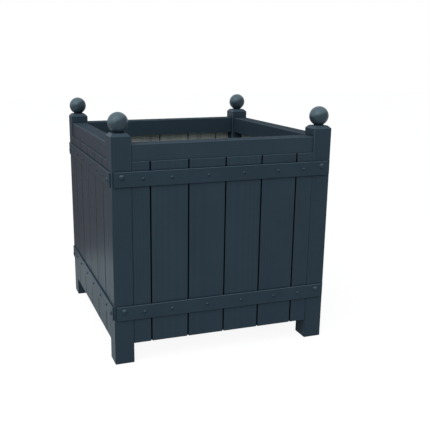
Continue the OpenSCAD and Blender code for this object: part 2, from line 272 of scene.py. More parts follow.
def merged_copy(node: str) -> Mesh:
    """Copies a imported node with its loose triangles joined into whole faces.

    Args:
        node: The node's name.

    Returns:
        The joined mesh, with no material.
    """
    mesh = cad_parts[node].data.copy()
    mesh.materials.clear()
    shape = bmesh.new()
    shape.from_mesh(mesh)
    bmesh.ops.remove_doubles(shape, verts=shape.verts, dist=WELD)
    bmesh.ops.dissolve_limit(shape, angle_limit=FLAT_ANGLE, verts=shape.verts, edges=shape.edges)
    shape.to_mesh(mesh)
    shape.free()
    return mesh


def lay_grain(mesh: Mesh, along: Along, seed: int) -> None:
    """Writes where each point lies in its own plank, for the wood materials.

    The third number runs along the grain. Each plank gets a place of its own in the log, so that no two
    planks look alike.

    Args:
        mesh: The piece's mesh, in place.
        along: The way the grain runs.
        seed: Picks the plank's place in the log.
    """
    draw = random.Random(seed)
    points = np.empty(len(mesh.vertices) * 3, np.float32)
    mesh.vertices.foreach_get("co", points)
    points = points.reshape(-1, 3)
    middle = (points.min(0) + points.max(0)) / 2
    log = [draw.uniform(low, high) for low, high in zip(LOG_LOW, LOG_HIGH)]
    local = (points - middle)[:, along.value] + np.array(log, np.float32)
    mesh.attributes.new("grain", "FLOAT_VECTOR", "POINT").data.foreach_set("vector", local.ravel())
    tones = np.full(len(mesh.vertices), draw.uniform(-1, 1), np.float32)
    mesh.attributes.new("tone", "FLOAT", "POINT").data.foreach_set("value", tones)


def store_grain(add: Adder, shape: Node, place: Node, seed: NodeSocket) -> Node:
    """Stores each plank's place in the log and its tone, as lay_grain does, in a geometry tree.

    Args:
        add: Adds to the tree.
        shape: The planks, one island each.
        place: Each point's place, with the grain along the third number.
        seed: Picks the planks' places in the log.

    Returns:
        The last node.
    """
    island = add("InputMeshIsland")
    shift = add("RandomValue", data_type="FLOAT_VECTOR", Min=LOG_LOW, Max=LOG_HIGH, ID=island, Seed=seed)
    tone = add("RandomValue", data_type="FLOAT", Min=-1.0, Max=1.0, ID=island, Seed=seed)
    local = add("VectorMath ADD", place, shift)
    shape = add("StoreNamedAttribute", data_type="FLOAT_VECTOR", Geometry=shape, Name="grain", Value=local)
    return add("StoreNamedAttribute", data_type="FLOAT", Geometry=shape, Name="tone", Value=tone)


def grow(name: str, base: Mesh, build: Callable[[Adder, Inputs], list], **values: object) -> Object:
    """Builds a geometry tree with named inputs, runs it on a mesh and keeps the result as a plain piece.

    Args:
        name: The piece's name.
        base: The mesh that the tree starts from.
        build: Adds the nodes, from the tree's inputs by name with the mesh as geometry. It gives the shape,
            and further materials, each with the node that picks its faces.
        values: What the tree's inputs get, by name. One is the material of all other faces.

    Returns:
        The finished object.
    """
    kinds = {float: "Float", int: "Int", Vector: "Vector", Material: "Material"}
    tree = bpy.data.node_groups.new(name, "GeometryNodeTree")
    tree.interface.new_socket("geometry", in_out="INPUT", socket_type="NodeSocketGeometry")
    tree.interface.new_socket("geometry", in_out="OUTPUT", socket_type="NodeSocketGeometry")
    sockets = {}
    for title, value in values.items():
        kind = "NodeSocket" + kinds[type(value)]
        sockets[title] = tree.interface.new_socket(title, in_out="INPUT", socket_type=kind)
    add = partial(add_node, tree)
    given = Inputs(**{socket.name: socket for socket in add("GroupInput").outputs if socket.name})
    shape, *others = build(add, given)
    shape = add("SetMaterial", add("RealizeInstances", shape), Material=given.material)
    for material, where in others:
        shape = add("SetMaterial", shape, Material=material, Selection=where)
    add("GroupOutput", shape)
    holder = put(name + "_base", base)
    modifier = holder.modifiers.new("grow", "NODES")
    modifier.node_group = tree
    for title, value in values.items():
        modifier[sockets[title].identifier] = value
    return crisp(name, freeze(holder))


# ---- finishes ----


def growth_rings(add: Adder, grain: NodeSocket, ring_mm: float, stretch: float,
                 wander: float) -> tuple[Node, NodeSocket]:
    """Draws growth rings about the heart of each plank's log.

    Args:
        add: Adds to the material's tree.
        grain: Each point's place in the log.
        ring_mm: The rings' spacing.
        stretch: Their change along the grain, as a share of that across it.
        wander: How far they stray from round.

    Returns:
        The place, drawn out along the grain as the rings are, and the rings.
    """
    place = add("VectorMath MULTIPLY", grain, (1, 1, stretch))
    wave = add("TexWave", place, wave_type="RINGS", rings_direction="Z", Scale=WAVE / (ring_mm * MM),
               Distortion=wander, Detail=2.0, Detail_Scale=0.5)
    return place, wave.outputs["Fac"]


@dataclass(frozen=True)
class SatinPaint(ABC):
    """Two brushed coats of satin opaque paint: worn edges, painted highlights on slopes and rims, painted
    shade in corners.
    """

    name: str = ""
    colour: str = ""
    # the lighter colour: real wear, and painted highlights
    worn_and_lit: str = ""
    # the colour of the painted shade in corners
    corner_shade: str = "#0d1318"
    ior: float = 1.5
    roughness: float = 0.42
    sheen: float = 0.068
    mottle: float = 0.12     # how much the roughness varies
    dulling: float = 0.4     # roughness that rain and dust add to level faces
    relief_mm: float = 0.05
    round_mm: float = 0.9    # paint rounds every edge
    least: float = 0.02      # shares of the lighter colour, for wear and painted highlights: everywhere,
    clouds: float = 0.13     # where the paint is thin,
    edges: float = 0.06      # on edges,
    slope_highlight: float = 0.8      # on faces that lean upwards, such as the bevels of the posts: a painted highlight from above,
    rim_highlight: float = 0.8      # and on the rims of level faces: a painted highlight along top edges, as on the straps
    crown: float = 0.0       # the part of the painted highlight of slopes that level faces get too, as on top of a ball
    weather: tuple[float, float, float] = (0.0, 0.0, 1.0)    # towards the light of the painted highlight; a short one reaches less far round
    rays: ClassVar[int] = 6                                  # that feel for edges and corners
    edge_turn: ClassVar[tuple[float, float]] = (0.995, 0.8)  # cosines where an edge starts to wear, is worn
    rim_turn: ClassVar[tuple[float, float]] = (0.998, 0.9)
    rim_mm: ClassVar[float] = 3.0
    lean: ClassVar[tuple[float, float]] = (0.36, 0.6)        # where a face's lean towards the light starts and completes its painted highlight
    level: ClassVar[tuple[float, float]] = (0.86, 0.97)      # and where it counts as level
    corner_mm: ClassVar[float] = 7.0                         # painted shade reaches this near to a neighbour
    corner_shut: ClassVar[tuple[float, float]] = (0.9, 0.55)
    corner_dirt: ClassVar[float] = 0.55

    @abstractmethod
    def ground(self, add: Adder) -> tuple[Node, Node, Node]:
        """Draws what the paint shows before it wears.

        Args:
            add: Adds to the material's tree.

        Returns:
            The share of the worn colour, the unevenness of the gloss, and the relief.
        """

    def wear(self, add: Adder, shade: Node) -> tuple[Node, Node, Node, Node]:
        """Rounds edges under paint, wears it lighter, and paints highlights on slopes and rims and shade in
        corners.

        Args:
            add: Adds to the material's tree.
            shade: The share of the lighter colour before this wear and these painted highlights.

        Returns:
            The rounded normal, the share of the lighter colour with wear and painted highlights, 1 on level
            faces, where dust and rain dull the gloss, and the painted shade in corners, such as between a
            strap and the boards.
        """
        facing = add("NewGeometry").outputs["Normal"]
        up = add("SeparateXYZ", facing).outputs["Z"]
        rounded = add("Bevel", self.round_mm * MM, samples=self.rays)
        turned = add("VectorMath DOT_PRODUCT", rounded, facing).outputs["Value"]
        edge = add("MapRange", turned, *self.edge_turn, 0.0, self.edges)
        # painted highlight: the more a face leans towards the light, the lighter its colour
        lean_to_light = add("VectorMath DOT_PRODUCT", rounded, self.weather).outputs["Value"]
        sloped = add("MapRange", add("Math ADD", lean_to_light, shade), *self.lean, 0.0, self.slope_highlight)
        level = add("MapRange", up, *self.level, 0.0, 1.0 - self.crown)
        steep = add("Math SUBTRACT", 1.0, level)
        # painted highlight along the rims of level faces
        broad = add("Bevel", self.rim_mm * MM, samples=self.rays)
        swung = add("VectorMath DOT_PRODUCT", broad, facing).outputs["Value"]
        rim = add("MapRange", swung, *self.rim_turn, 0.0, self.rim_highlight)
        for amount, share in ((edge, 1.0), (sloped, steep), (rim, level)):
            shade = add("Math MULTIPLY_ADD", amount, share, shade, use_clamp=True)
        # painted shade: ambient occlusion darkens corners and gaps and dims their gloss
        open_sky = add("AmbientOcclusion", samples=self.rays, Distance=self.corner_mm * MM).outputs["AO"]
        return rounded, shade, level, add("MapRange", open_sky, *self.corner_shut, 0.0, self.corner_dirt)

    def make(self) -> Material:
        """Builds the material.

        Returns:
            The material.
        """
        material = bpy.data.materials.new(self.name)
        add = clear_nodes(material)
        shade, uneven, relief = self.ground(add)
        rounded, shade, level, corner_shade = self.wear(add, shade)
        # mixes in the lighter colour, for wear and for painted highlights
        colour = add("Mix", shade, linear(self.colour), linear(self.worn_and_lit), data_type="RGBA")
        # painted shade in corners, which also loses its sheen below
        colour = add("Mix", corner_shade, colour, linear(self.corner_shade), data_type="RGBA")
        sheen = add("Math MULTIPLY_ADD", corner_shade, -self.sheen, self.sheen)
        gloss = add("Math MULTIPLY_ADD", uneven, self.mottle, self.roughness - self.mottle / 2)
        gloss = add("Math MULTIPLY_ADD", level, self.dulling, gloss)
        bump = add("Bump", Strength=1.0, Distance=self.relief_mm * MM, Height=relief, Normal=rounded)
        add("OutputMaterial", add("BsdfPrincipled", Base_Color=colour, Roughness=gloss, IOR=self.ior,
                                  Specular_IOR_Level=sheen, Normal=bump))
        return material


@dataclass(frozen=True)
class SatinPaintedPine(SatinPaint):
    """Planed pine under satin paint: blue-grey, softly glossy, with a faint grain and brush marks."""

    name: str = "pine_satin_paint_brushed"
    colour: str = "#222f38"
    worn_and_lit: str = "#3c4c57"
    least: float = 0.045
    clouds: float = 0.22
    planks: float = 0.06     # how much the share of the worn colour differs from plank to plank
    rings: float = 0.05      # and over a growth ring
    edges: float = 0.08
    slope_highlight: float = 0.54
    rim_highlight: float = 0.7
    ring_mm: float = 8.0     # growth rings are 3 mm; drawn coarser so that they show in the render
    fibre_mm: float = 3.0    # fibres are 0.1 mm; drawn coarser for the same reason
    brush_mm: float = 5.0    # bristle marks
    cloud_mm: float = 160.0  # thicker and thinner paint
    relief_mm: float = 0.06
    ring_stretch: ClassVar[float] = 0.05     # change along the grain, as a share of that across it
    fibre_stretch: ClassVar[float] = 0.03
    fibre_relief: ClassVar[float] = 0.5
    wander: ClassVar[float] = 4.0

    def ground(self, add: Adder) -> tuple[Node, Node, Node]:
        """Shades the paint by plank, cloud and ring, and lets the grain stand in it.

        Args:
            add: Adds to the material's tree.

        Returns:
            The share of the worn colour, the brush marks, and the relief of rings and fibres.
        """
        grain = add("Attribute", attribute_name="grain").outputs["Vector"]
        tone = add("Attribute", attribute_name="tone").outputs["Fac"]
        _, rings = growth_rings(add, grain, self.ring_mm, self.ring_stretch, self.wander)
        drawn_out = add("VectorMath MULTIPLY", grain, (1, 1, self.fibre_stretch))
        fibres = add("TexNoise", drawn_out, Scale=1 / (self.fibre_mm * MM), Detail=3.0)
        brush = add("TexNoise", drawn_out, Scale=1 / (self.brush_mm * MM), Detail=1.0)
        cloud = add("TexNoise", grain, Scale=1 / (self.cloud_mm * MM), Detail=3.0)
        shade = add("Math MULTIPLY_ADD", tone, self.planks, self.least)
        shade = add("Math MULTIPLY_ADD", cloud, self.clouds, shade)
        shade = add("Math MULTIPLY_ADD", rings, self.rings, shade)
        return shade, brush, add("Math MULTIPLY_ADD", fibres, self.fibre_relief, rings)


@dataclass(frozen=True)
class SatinPaintedIron(SatinPaint):
    """Rolled flat bar under the same satin paint, laid on thicker: smoother, with a light orange peel."""

    name: str = "steel_flat_bar_satin_paint"
    colour: str = "#202e38"
    worn_and_lit: str = "#53646f"
    sheen: float = 0.072
    peel_mm: float = 4.0     # the peel is 1 to 2 mm; drawn coarser so that it shows in the render
    cloud_mm: float = 90.0

    def ground(self, add: Adder) -> tuple[Node, Node, Node]:
        """Shades the paint by clouds and gives it its peel.

        Args:
            add: Adds to the material's tree.

        Returns:
            The share of the worn colour, the clouds, and the relief of the peel.
        """
        place = add("TexCoord").outputs["Object"]
        peel = add("TexNoise", place, Scale=1 / (self.peel_mm * MM), Detail=2.0)
        cloud = add("TexNoise", place, Scale=1 / (self.cloud_mm * MM), Detail=4.0)
        return add("Math MULTIPLY_ADD", cloud, self.clouds, self.least), cloud, peel


@dataclass(frozen=True)
class BareTreatedPine:
    """Planed pine left as it came from the treatment tank: green-grey, dull, with rings, knots and stains."""

    early: str = "#afb6b2"
    late: str = "#9fa6a2"
    stain: str = "#626764"
    knot: str = "#5b5142"
    ior: float = 1.45
    roughness: float = 0.62
    mottle: float = 0.2      # how much the roughness varies
    planks: float = 0.15     # how much the planks differ
    ring_mm: float = 7.0     # real rings are 3 mm; drawn coarser so that they show in the render
    knot_mm: float = 170.0   # about one knot in each hand's width
    stain_mm: float = 35.0
    fibre_mm: float = 2.0    # drawn coarser, as the rings are
    relief_mm: float = 0.2
    ring_stretch: ClassVar[float] = 0.06     # change along the grain, as a share of that across it
    knot_stretch: ClassVar[float] = 0.45
    stain_stretch: ClassVar[float] = 0.12
    fibre_relief: ClassVar[float] = 0.6
    wander: ClassVar[float] = 6.0
    knot_reach: ClassVar[tuple[float, float]] = (0.10, 0.03)    # where a knot starts and is full
    stain_reach: ClassVar[tuple[float, float]] = (0.5, 0.75)    # and a stain, whose share is at most
    stain_most: ClassVar[float] = 0.6

    def make(self) -> Material:
        """Builds the material.

        Returns:
            The material.
        """
        material = bpy.data.materials.new("pine_pressure_treated_planed")
        add = clear_nodes(material)
        grain = add("Attribute", attribute_name="grain").outputs["Vector"]
        tone = add("Attribute", attribute_name="tone").outputs["Fac"]
        place = add("VectorMath MULTIPLY", grain, (1, 1, self.knot_stretch))
        cells = add("TexVoronoi", place, Scale=1 / (self.knot_mm * MM)).outputs["Distance"]
        knots = add("MapRange", cells, *self.knot_reach, 0.0, 1.0, interpolation_type="SMOOTHSTEP")
        drawn_out, rings = growth_rings(add, grain, self.ring_mm, self.ring_stretch, self.wander)
        place = add("VectorMath MULTIPLY", grain, (1, 1, self.stain_stretch))
        stains = add("TexNoise", place, Scale=1 / (self.stain_mm * MM), Detail=4.0)
        stained = add("MapRange", stains, *self.stain_reach, 0.0, self.stain_most)
        late = add("Math MULTIPLY_ADD", tone, self.planks, rings)
        wood = linear(self.early)
        for amount, colour in ((late, self.late), (stained, self.stain), (knots, self.knot)):
            wood = add("Mix", amount, wood, linear(colour), data_type="RGBA")
        fibres = add("TexNoise", drawn_out, Scale=1 / (self.fibre_mm * MM), Detail=2.0)
        relief = add("Math MULTIPLY_ADD", fibres, self.fibre_relief, rings)
        bump = add("Bump", Strength=1.0, Distance=self.relief_mm * MM, Height=relief)
        rough = add("Math MULTIPLY_ADD", fibres, self.mottle, self.roughness)
        add("OutputMaterial", add("BsdfPrincipled", Base_Color=wood, Roughness=rough, IOR=self.ior,
                                  Normal=bump))
        return material


@dataclass(frozen=True)
class ZincPlatedSteel:
    """Turned and rolled steel with a thin bright zinc plating that has dulled in patches."""

    bright: str = "#c9ced2"
    dull: str = "#8f9496"
    roughness: float = 0.24
    patch_mm: float = 6.0
    scratch_mm: float = 0.6  # drawn coarser than the 0.1 mm of real ones, so that they show close up
    relief_mm: float = 0.03
    scratched: float = 0.6   # strength of the scratches' relief
    mottle: float = 0.25     # how much duller the patches are

    def make(self) -> Material:
        """Builds the material.

        Returns:
            The material.
        """
        material = bpy.data.materials.new("steel_zinc_plated")
        add = clear_nodes(material)
        place = add("TexCoord").outputs["Object"]
        patches = add("TexNoise", place, Scale=1 / (self.patch_mm * MM), Detail=4.0)
        scratches = add("TexNoise", place, Scale=1 / (self.scratch_mm * MM), Detail=2.0)
        colour = add("Mix", patches, linear(self.bright), linear(self.dull), data_type="RGBA")
        gloss = add("Math MULTIPLY_ADD", patches, self.mottle, self.roughness)
        bump = add("Bump", Strength=self.scratched, Distance=self.relief_mm * MM, Height=scratches)
        add("OutputMaterial", add("BsdfPrincipled", Base_Color=colour, Metallic=1.0, Roughness=gloss,
                                  Normal=bump))
        return material


@dataclass
class Finishes:
    """The finishes, built once."""

    paint: Material = field(default_factory=SatinPaintedPine().make)
    # turned smooth, so glossier; paler on the upper left, a painted highlight leaning towards the light
    balls: Material = field(default_factory=SatinPaintedPine(
        name="pine_satin_paint_turned", colour="#1e2b34", worn_and_lit="#4b5c63", roughness=0.32, sheen=0.16,
        slope_highlight=0.8, crown=1.0, weather=(-0.26, 0.0, 0.67)).make)
    # painted shade: the faces in the gaps between the boards, almost black
    gap_shade: Material = field(default_factory=SatinPaintedPine(
        name="pine_satin_paint_in_gaps", colour="#05080b", worn_and_lit="#0b1014", sheen=0.02).make)
    bare: Material = field(default_factory=BareTreatedPine().make)
    iron: Material = field(default_factory=SatinPaintedIron().make)
    # the paint lies thinner on heads and shines more; their tops get a weaker painted highlight
    heads: Material = field(default_factory=SatinPaintedIron(
        name="steel_fastener_satin_paint", roughness=0.34, slope_highlight=0.5).make)
    zinc: Material = field(default_factory=ZincPlatedSteel().make)


# ---- joinery ----


@dataclass
class SubAssembly(ABC):
    """A group of pieces that the maker would build together."""

    finishes: Finishes

    @abstractmethod
    def build(self) -> None:
        """Builds the meshes, dresses them and hands them to the frame."""


@dataclass
class PostsAndRails(SubAssembly):
    """The morticed frame: four posts, four top rails, and below the floor four rails and a bearer."""

    seed: int = 163

    def build(self) -> None:
        """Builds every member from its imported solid."""
        corners = ("front_left", "front_right", "back_right", "back_left")
        members = [(corner + "_post", Along.Z, "painted_wood") for corner in corners]
        for side in Side:
            along = Along.X if side in (Side.FRONT, Side.BACK) else Along.Y
            members.append((side.label + "_top_rail", along, "painted_wood"))
            members.append((side.label + "_bottom_rail", along, "bare_wood"))
        members.append(("middle_bearer", Along.X, "bare_wood"))
        for number, (node, along, slot) in enumerate(members):
            mesh = merged_copy(node)
            lay_grain(mesh, along, self.seed + number)
            self.dress(mesh, slot)
            show(crisp(node + "_planed", mesh), slot, node)

    def dress(self, mesh: Mesh, slot: str) -> None:
        """Gives a member its finish."""
        mesh.materials.append(self.finishes.paint if slot == "painted_wood" else self.finishes.bare)


@dataclass
class BoardWalls(SubAssembly):
    """The tongued boards of the four sides, painted outside with painted shade in the gaps, and bare inside.
    """

    clear: float = 664.0
    end_board: float = 64.0
    count: int = 6
    shadow_gap: float = 5.0
    back_gap: float = 4.5
    butt_gap: float = 0.8
    butt_ease: float = 0.2
    tongue: float = 7.0
    tongue_in: float = 6.0
    tongue_play: float = 0.4
    tongue_end_play: float = 1.0
    ease: float = 1.0
    top_ease: float = 1.6
    cup: float = 0.3
    cup_steps: int = 8
    settle: float = 0.4
    weld: float = 0.01       # points nearer than this are one
    squarely: float = 0.5    # the cosine from which a face looks inwards, and up to which it is upright
    paint_in: float = 0.2    # how far the outside paint reaches into the gaps, past the eased edges, before the painted shade
    paint_over: float = 2.0  # and how near to their backs the boards are painted
    seed: int = 5

    def plan(self, number: int) -> list[tuple[float, float]]:
        """Outlines one board from above.

        Args:
            number: Which board, from 0 at the left end, seen from outside.

        Returns:
            Points (along, inwards), anticlockwise.
        """
        pitch = (self.clear - 2 * self.end_board) / (self.count - 2)
        first, last = number == 0, number == self.count - 1
        left = -self.clear / 2 if first else (number - self.count / 2) * pitch
        right = self.clear / 2 if last else (number + 1 - self.count / 2) * pitch
        butt = (self.butt_gap, self.butt_gap, self.tongue_in, self.butt_ease)
        joint = (self.shadow_gap / 2, self.back_gap / 2, self.tongue_in + self.shadow_gap / 2, self.ease)
        edge = self.tongue_edge(right, *(butt if last else joint))
        if first:
            other = [(-x, y) for x, y in reversed(self.tongue_edge(-left, *butt))]
        else:
            other = self.groove_edge(left)
        start, end = other[-1][0], edge[0][0]
        face = [(start + (end - start) * step / self.cup_steps,
                 self.cup * (1 - (2 * step / self.cup_steps - 1) ** 2)) for step in range(1, self.cup_steps)]
        return edge + other + face

    def tongue_edge(self, x: float, face_gap: float, back_gap: float, reach: float,
                    ease: float) -> list[tuple[float, float]]:
        """Outlines the right-hand edge of a board.

        Args:
            x: Its end of the wall, or the middle of the gap beside it.
            face_gap: How far its face stands back from there.
            back_gap: How far its back does.
            reach: How far its tongue goes past there.
            ease: The cut across the corner of its face.

        Returns:
            Points from the face to the back.
        """
        low, high = (Timber.board - self.tongue) / 2, (Timber.board + self.tongue) / 2
        return [(x - face_gap - ease, 0), (x - face_gap, ease), (x - face_gap, low), (x + reach, low),
                (x + reach, high), (x - back_gap, high), (x - back_gap, Timber.board)]

    def groove_edge(self, x: float) -> list[tuple[float, float]]:
        """Outlines the left-hand edge of a board, which takes the tongue of the one beside it.

        Args:
            x: The middle of the gap between the two.

        Returns:
            Points from the back to the face.
        """
        low = (Timber.board - self.tongue) / 2 - self.tongue_play
        high = (Timber.board + self.tongue) / 2 + self.tongue_play
        bottom = x + self.tongue_in + self.shadow_gap / 2 + self.tongue_end_play
        face = x + self.shadow_gap / 2
        back = x + self.back_gap / 2
        return [(back, Timber.board), (back, high), (bottom, high), (bottom, low), (face, low),
                (face, self.ease), (face + self.ease, 0)]

    def raise_boards(self, add: Adder, given: Inputs) -> list:
        """Raises the outlines into boards, eases their tops and lets each settle in its rebate.

        Args:
            add: Adds to the tree.
            given: The tree's inputs.

        Returns:
            The boards, then two further materials, each with the node that picks its faces.
        """
        raised = add("ExtrudeMesh", given.geometry, mode="FACES", Offset=(0, 0, 1), Offset_Scale=given.height,
                     Individual=False)
        raised = add("ExtrudeMesh", raised, mode="FACES", Offset=(0, 0, 1), Selection=raised.outputs["Top"],
                     Offset_Scale=given.top_ease, Individual=False)
        depth = add("VectorMath DOT_PRODUCT", add("InputPosition"), given.inward).outputs["Value"]
        eased = add("Math MAXIMUM", add("Math SUBTRACT", given.eased_to, depth), 0.0)
        raised = add("SetPosition", raised, Selection=raised.outputs["Top"],
                     Offset=add("VectorMath SCALE", given.inward, Scale=eased))
        boards = add("JoinGeometry", [raised, add("FlipFaces", given.geometry)])
        boards = add("MergeByDistance", boards, Distance=self.weld * MM)
        settled = add("RandomValue", data_type="FLOAT", Max=given.settle, ID=add("InputMeshIsland"),
                      Seed=given.seed)
        boards = add("SetPosition", boards, Offset=add("VectorMath SCALE", given.inward, Scale=settled))
        place = add("VectorRotate", add("InputPosition"), rotation_type="Z_AXIS", Angle=given.turn_back)
        boards = store_grain(add, boards, place, given.seed)
        normal = add("InputNormal")
        toward = add("VectorMath DOT_PRODUCT", normal, given.inward).outputs["Value"]
        inner = add("Compare GREATER_THAN", data_type="FLOAT", A=toward, B=self.squarely)
        upright = add("Math COMPARE", add("SeparateXYZ", normal).outputs["Z"], 0.0, self.squarely)
        # painted shade: upright faces deep in the gaps take the near-black gap paint
        in_gap = add("Compare GREATER_THAN", data_type="FLOAT", A=depth, B=given.gap_from)
        at_back = add("Compare GREATER_THAN", data_type="FLOAT", A=depth, B=given.back_from)
        return [boards, (given.gap_paint, add("BooleanMath AND", in_gap, upright)),
                (given.bare_wood, add("BooleanMath AND", at_back, inner))]

    def build(self) -> None:
        """Builds the boards of each side as one piece."""
        for side in Side:
            mesh = bpy.data.meshes.new(side.label + "_outlines")
            points, faces = [], []
            for number in range(self.count):
                outline = [side.place(x, y, Timber.board_bottom) for x, y in self.plan(number)]
                faces.append(range(len(points), len(points) + len(outline)))
                points += outline
            mesh.from_pydata(points, [], faces)
            piece = grow(
                side.label + "_boards", mesh, self.raise_boards, inward=side.inward, turn_back=-side.turn,
                height=(Timber.board_top - Timber.board_bottom - self.top_ease) * MM,
                top_ease=self.top_ease * MM, eased_to=(self.top_ease - Timber.half) * MM,
                settle=self.settle * MM, seed=self.seed + side.value,
                gap_from=(self.ease + self.paint_in - Timber.half) * MM,
                back_from=(Timber.board - self.paint_over - Timber.half) * MM, material=self.finishes.paint,
                gap_paint=self.finishes.gap_shade, bare_wood=self.finishes.bare)
            show(piece, "painted_wood", *(f"{side.label}_board_{n + 1}" for n in range(self.count)))


@dataclass
class SlattedFloor(SubAssembly):
    """Five loose-laid slats over the bottom rails, notched round the posts and countersunk for screws."""

    count: int = 5
    width: float = 142.4
    gap: float = 10.0
    length: float = 752.0
    ease: float = 1.5
    post_room: float = 71.0
    screw_edge: float = 20.0
    screw_rows: float = 355.5
    mouth: float = 5.3     # radius of the screws' holes on top, a little over that of their heads,
    bore: float = 2.5      # and below
    bored: float = 1.5     # how deep the cutters go, in thicknesses
    hole_sides: int = 32
    seed: int = 23

    def spots(self) -> list[Vector]:
        """Places the floor screws.

        Returns:
            The places, on top of the slats.
        """
        reach = Timber.half - self.post_room - self.screw_edge
        columns = []
        for slat in range(self.count):
            middle = (slat - (self.count - 1) / 2) * (self.width + self.gap)
            for shift in (self.screw_edge - self.width / 2, self.width / 2 - self.screw_edge):
                columns.append(max(-reach, min(reach, middle + shift)))
        return [Vector((x, y, Timber.floor_top)) * MM for x in columns
                for y in (-self.screw_rows, 0, self.screw_rows)]

    def lay_slats(self, add: Adder, given: Inputs) -> list:
        """Runs, spaces, notches and bores the slats.

        Args:
            add: Adds to the tree.
            given: The tree's inputs.

        Returns:
            The slats.
        """
        start = add("Math MULTIPLY", given.half_length, -1.0)
        run = add("CurvePrimitiveLine", Start=add("CombineXYZ", Y=start),
                  End=add("CombineXYZ", Y=given.half_length))
        section = add("CurvePrimitiveQuadrilateral", Width=given.width, Height=given.thickness)
        section = add("FilletCurve", section, Radius=given.ease)
        slat = add("CurveToMesh", run, section, Fill_Caps=True)
        line = add("MeshLine", Count=given.count, Offset=add("CombineXYZ", X=given.pitch),
                   Start_Location=add("CombineXYZ", X=given.first, Z=given.middle))
        slats = add("RealizeInstances", add("InstanceOnPoints", line, Instance=slat))
        room = add("MeshCube", Size=add("CombineXYZ", given.post_room, given.post_room, 1.0))
        corners = add("MeshGrid", Size_X=given.post_spacing, Size_Y=given.post_spacing, Vertices_X=2,
                      Vertices_Y=2)
        rooms = add("RealizeInstances", add("InstanceOnPoints", corners, Instance=room))
        cone = stacked_rings(add, [(given.flare, given.slope, self.hole_sides),
                                   (given.bore, add("Math MULTIPLY", given.slope, -1.0), self.hole_sides)])
        hole = stacked_rings(add, [(given.bore, 0.0, self.hole_sides),
                                   (given.bore, given.through, self.hole_sides)])
        sink = add("MeshBoolean UNION", solver="EXACT", Mesh=[cone, hole])
        sinks = add("RealizeInstances", add("InstanceOnPoints", given.geometry, Instance=sink))
        slats = add("MeshBoolean DIFFERENCE", solver="EXACT", Mesh_1=slats, Mesh_2=[rooms, sinks])
        split = add("SeparateXYZ", add("InputPosition")).outputs
        return [store_grain(add, slats, add("CombineXYZ", split["X"], split["Z"], split["Y"]), given.seed)]

    def build(self) -> None:
        """Lays the floor as one piece."""
        mesh = bpy.data.meshes.new("floor_screw_spots")
        mesh.from_pydata(self.spots(), [], [])
        thickness = Timber.floor_top - Timber.floor_bottom
        pitch = self.width + self.gap
        slope = self.mouth - self.bore    # the mouth is cut at 45 degrees
        piece = grow(
            "floor_slats", mesh, self.lay_slats, count=self.count, half_length=self.length / 2 * MM,
            width=self.width * MM, thickness=thickness * MM, ease=self.ease * MM, pitch=pitch * MM,
            first=(1 - self.count) / 2 * pitch * MM, middle=(Timber.floor_bottom + thickness / 2) * MM,
            post_room=self.post_room * MM, post_spacing=(2 * Timber.half - self.post_room) * MM,
            flare=(self.mouth + slope) * MM, slope=slope * MM, bore=self.bore * MM,
            through=-self.bored * thickness * MM, seed=self.seed, material=self.finishes.bare)
        show(piece, "bare_wood", *(f"floor_slat_{n + 1}" for n in range(self.count)))


def stacked_rings(add: Adder, rings: list[tuple[object, object, int]]) -> Node:
    """Makes a closed convex turned shape from flat rings.

    Args:
        add: Adds to the tree.
        rings: Radius, height and number of sides of each ring, as sockets, nodes or numbers.

    Returns:
        The node that gives the shape.
    """
    placed = [add("Transform", add("MeshCircle", Vertices=sides, Radius=radius),
                  Translation=add("CombineXYZ", Z=height)) for radius, height, sides in rings]
    return add("ConvexHull", add("JoinGeometry", placed))


